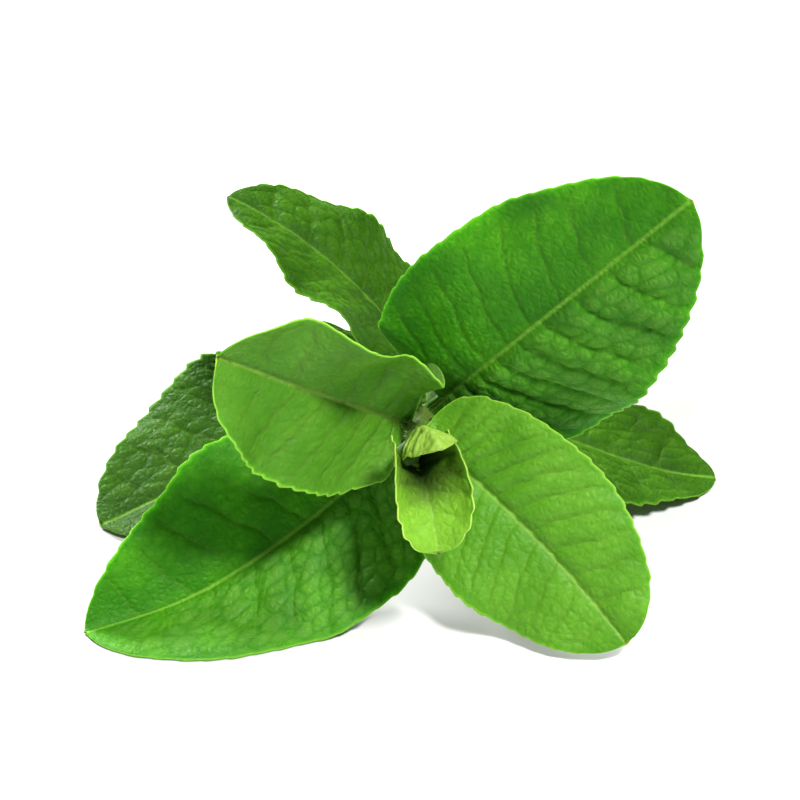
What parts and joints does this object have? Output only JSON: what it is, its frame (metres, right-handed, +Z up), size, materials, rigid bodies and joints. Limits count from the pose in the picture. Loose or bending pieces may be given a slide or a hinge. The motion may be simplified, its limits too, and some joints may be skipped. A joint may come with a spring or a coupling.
{
  "type": "mint sprig",
  "caption": "Cut sprig of fresh mint lying on its side: square stem, opposite toothed oval leaves in crossed pairs, and a small cupped growing tip.",
  "frame": {"origin": "middle of the sprig's footprint, on the surface it lies on", "axes": "+Z up; the growing tip points along -Y and the cut end of the stem along +Y; +X is to the right when looking from the tip's side along +Y"},
  "size_m": [0.0976, 0.0922, 0.0716],
  "materials": {
    "stem": "matt, finely hairy",
    "growing_tip": "soft satin",
    "young_leaf": "soft satin",
    "mature_leaf": "satin",
    "old_leaf": "matt"
  },
  "bodies": {
    "root": {"stem": "stem", "tip": "growing_tip", "upper_leaf_left": "young_leaf", "upper_leaf_right": "young_leaf", "middle_leaf_left": "mature_leaf", "middle_leaf_right": "mature_leaf", "lower_leaf_left": "old_leaf", "lower_leaf_right": "old_leaf", "base_leaf_left": "old_leaf", "base_leaf_right": "old_leaf"}
  },
  "joints": []
}
